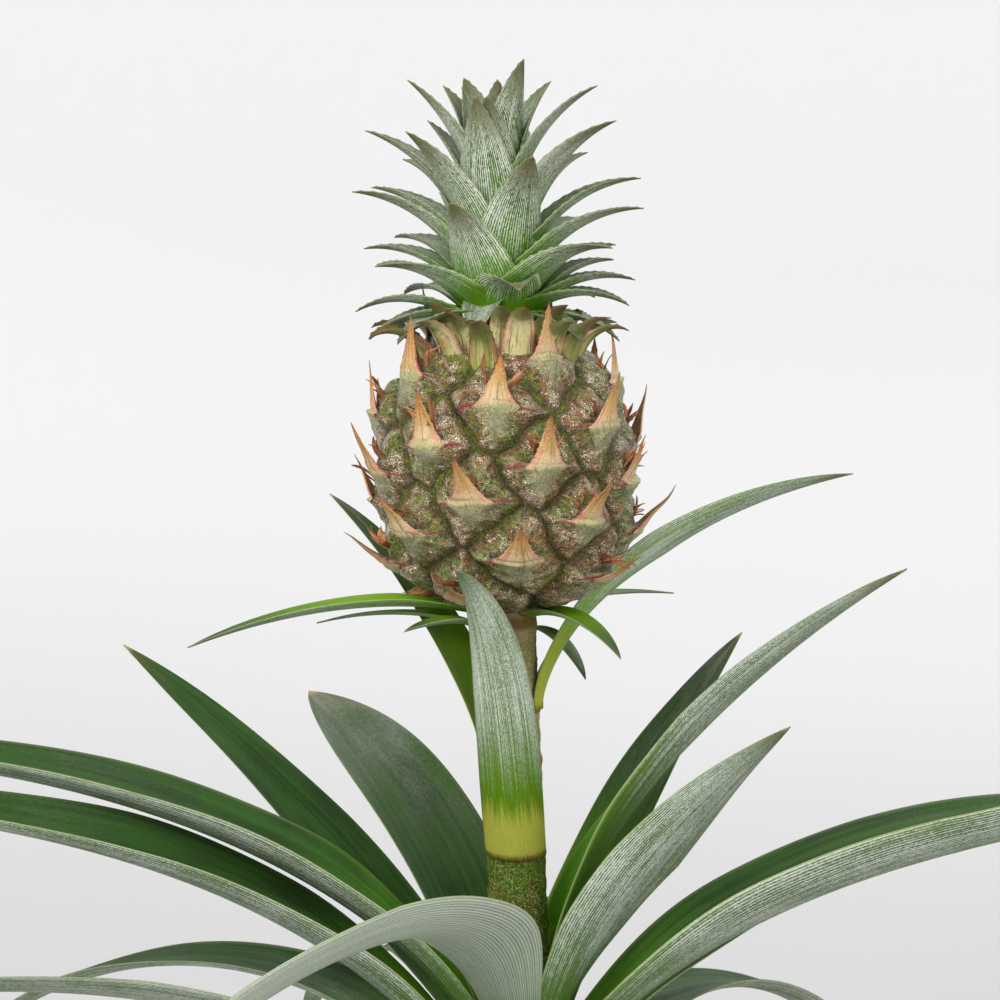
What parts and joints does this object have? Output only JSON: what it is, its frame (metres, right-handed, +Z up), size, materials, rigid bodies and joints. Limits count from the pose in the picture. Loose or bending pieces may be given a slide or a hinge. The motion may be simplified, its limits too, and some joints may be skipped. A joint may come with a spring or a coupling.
{
  "type": "potted pineapple plant",
  "caption": "Dwarf pineapple plant in a plain round pot: arching rosette, leafy stalk, small fruit with its bracts and a spiky leaf crown.",
  "frame": {"origin": "middle of the pot's flat underside, on the surface it stands on", "axes": "+Z up along the pot's axis, -Y the plant's front, +X to the right seen from the front"},
  "size_m": [0.4997, 0.3546, 0.4304],
  "materials": {
    "pot": "matte",
    "soil": "matte",
    "stem": "matte",
    "fruit_stalk": "matte",
    "fruit_rind": "satin",
    "crown_core": "matte",
    "rosette_leaf": "satin",
    "stalk_leaf": "satin",
    "crown_leaf": "satin"
  },
  "bodies": {
    "root": {"pot": "pot", "soil": "soil", "stem": "stem", "fruit_stalk": "fruit_stalk", "fruit": "fruit_rind", "crown_core": "crown_core", "rosette_leaf_01": "rosette_leaf", "rosette_leaf_02": "rosette_leaf", "rosette_leaf_03": "rosette_leaf", "rosette_leaf_04": "rosette_leaf", "rosette_leaf_05": "rosette_leaf", "rosette_leaf_06": "rosette_leaf", "rosette_leaf_07": "rosette_leaf", "rosette_leaf_08": "rosette_leaf", "rosette_leaf_09": "rosette_leaf", "rosette_leaf_10": "rosette_leaf", "rosette_leaf_11": "rosette_leaf", "rosette_leaf_12": "rosette_leaf", "rosette_leaf_13": "rosette_leaf", "rosette_leaf_14": "rosette_leaf", "rosette_leaf_15": "rosette_leaf", "rosette_leaf_16": "rosette_leaf", "rosette_leaf_17": "rosette_leaf", "rosette_leaf_18": "rosette_leaf", "rosette_leaf_19": "rosette_leaf", "rosette_leaf_20": "rosette_leaf", "stalk_leaf_01": "stalk_leaf", "stalk_leaf_02": "stalk_leaf", "stalk_leaf_03": "stalk_leaf", "stalk_leaf_04": "stalk_leaf", "stalk_leaf_05": "stalk_leaf", "stalk_leaf_06": "stalk_leaf", "stalk_leaf_07": "stalk_leaf", "stalk_leaf_08": "stalk_leaf", "stalk_leaf_09": "stalk_leaf", "crown_leaf_01": "crown_leaf", "crown_leaf_02": "crown_leaf", "crown_leaf_03": "crown_leaf", "crown_leaf_04": "crown_leaf", "crown_leaf_05": "crown_leaf", "crown_leaf_06": "crown_leaf", "crown_leaf_07": "crown_leaf", "crown_leaf_08": "crown_leaf", "crown_leaf_09": "crown_leaf", "crown_leaf_10": "crown_leaf", "crown_leaf_11": "crown_leaf", "crown_leaf_12": "crown_leaf", "crown_leaf_13": "crown_leaf", "crown_leaf_14": "crown_leaf", "crown_leaf_15": "crown_leaf", "crown_leaf_16": "crown_leaf", "crown_leaf_17": "crown_leaf", "crown_leaf_18": "crown_leaf", "crown_leaf_19": "crown_leaf", "crown_leaf_20": "crown_leaf", "crown_leaf_21": "crown_leaf", "crown_leaf_22": "crown_leaf", "crown_leaf_23": "crown_leaf", "crown_leaf_24": "crown_leaf"}
  },
  "joints": []
}
